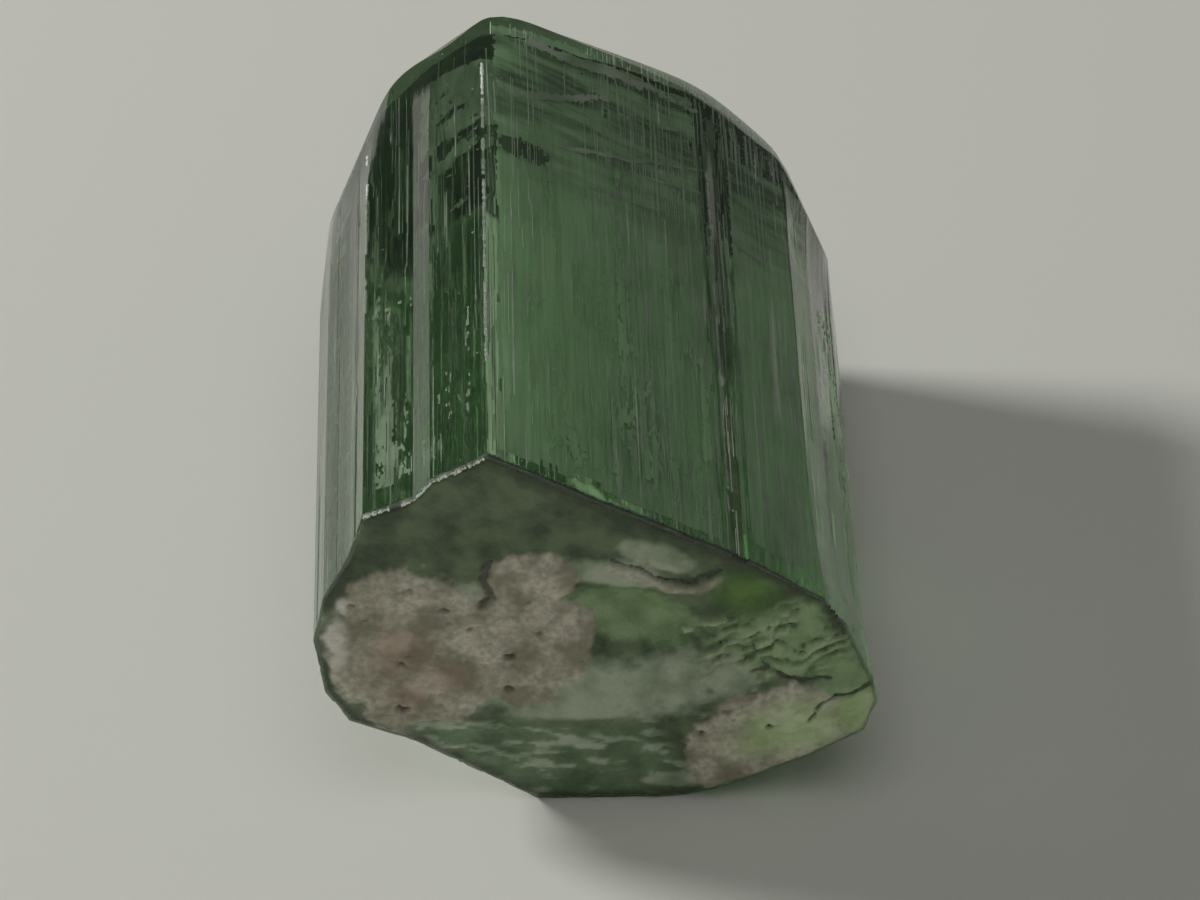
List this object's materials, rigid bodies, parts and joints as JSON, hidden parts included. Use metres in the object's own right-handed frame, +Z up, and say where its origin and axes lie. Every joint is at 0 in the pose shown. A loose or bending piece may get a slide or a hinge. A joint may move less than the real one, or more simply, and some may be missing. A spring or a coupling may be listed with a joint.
{
  "type": "tourmaline crystal",
  "caption": "Short green tourmaline prism lying on its side: striated sides, two lower wings, sloping natural termination, broken base with pale matrix crust",
  "frame": {"origin": "on the surface the crystal lies on, under the middle of its bounding box", "axes": "+Z up; +Y along the prism, from the broken base to the natural termination; +X across it"},
  "size_m": [0.015, 0.021, 0.0125],
  "materials": {
    "green_tourmaline": "transparent to translucent moss green, glossy striated growth faces",
    "pale_matrix": null,
    "sealed_inclusions": null
  },
  "bodies": {
    "root": {"tourmaline_crystal": "green_tourmaline"}
  },
  "joints": []
}
